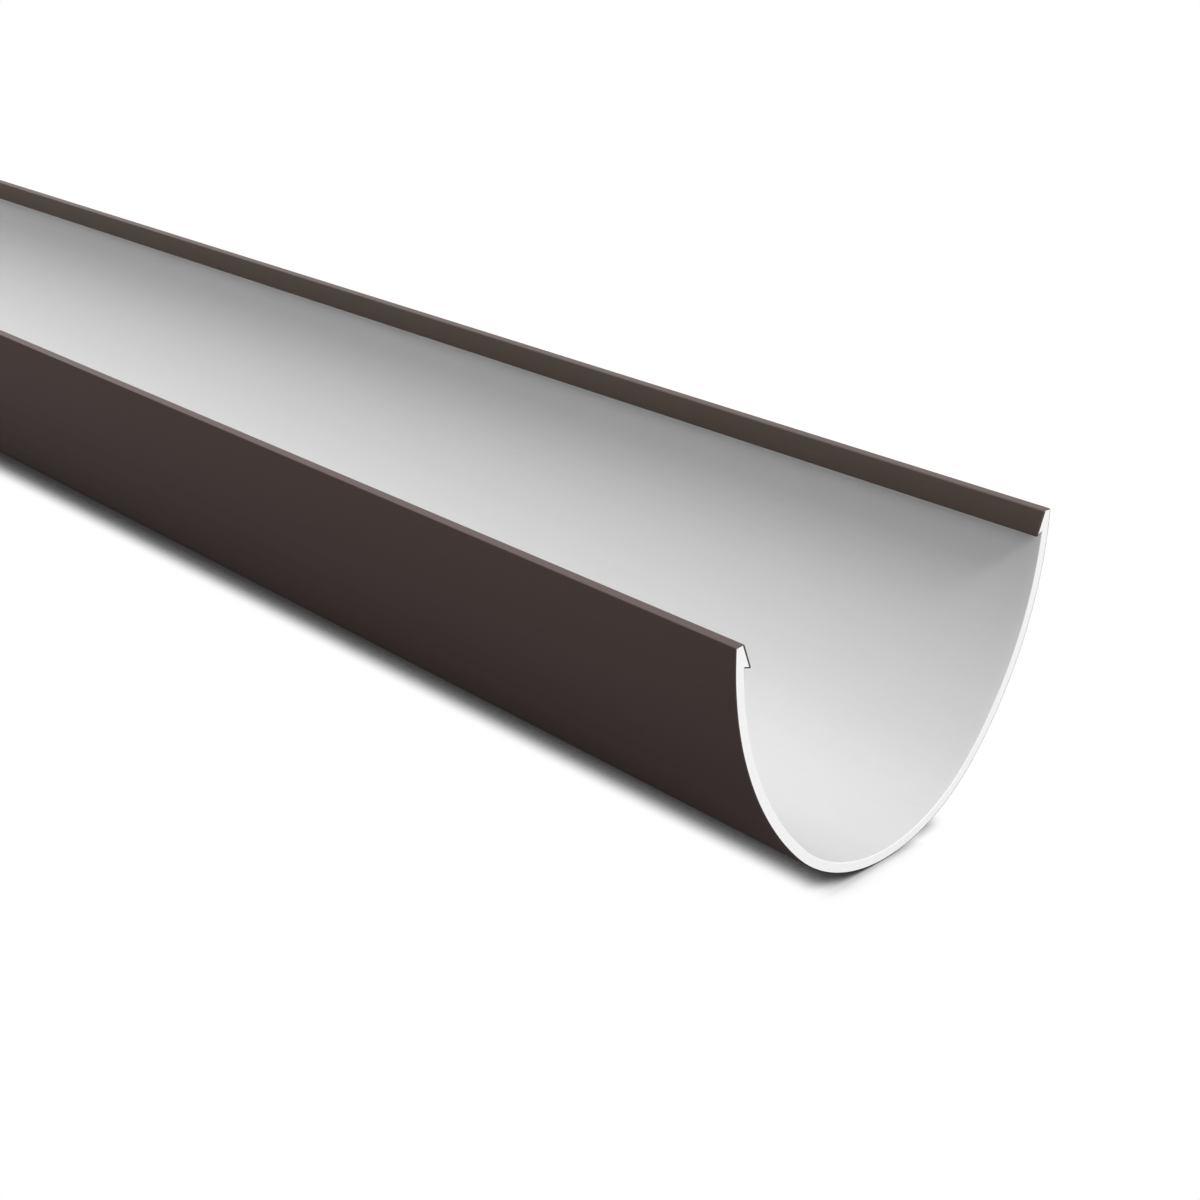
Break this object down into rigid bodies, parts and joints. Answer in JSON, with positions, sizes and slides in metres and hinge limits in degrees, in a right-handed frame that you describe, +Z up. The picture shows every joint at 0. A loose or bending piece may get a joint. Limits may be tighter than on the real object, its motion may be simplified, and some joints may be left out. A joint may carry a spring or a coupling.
{
  "type": "gutter section",
  "caption": "Deep half-round rainwater gutter with an inturned lip along each rim, a straight stock length sawn square, brown outside and white inside.",
  "frame": {"origin": "the lowest line of the round bottom, under the middle of the length", "axes": "+X along the gutter, +Y across it, +Z up through the open side"},
  "size_m": [2, 0.125, 0.0829],
  "materials": {
    "brown_outside_white_inside": "satin brown outside and on the lips, satin white inside and on the cut ends"
  },
  "bodies": {
    "root": {"gutter_channel": "brown_outside_white_inside"}
  },
  "joints": []
}
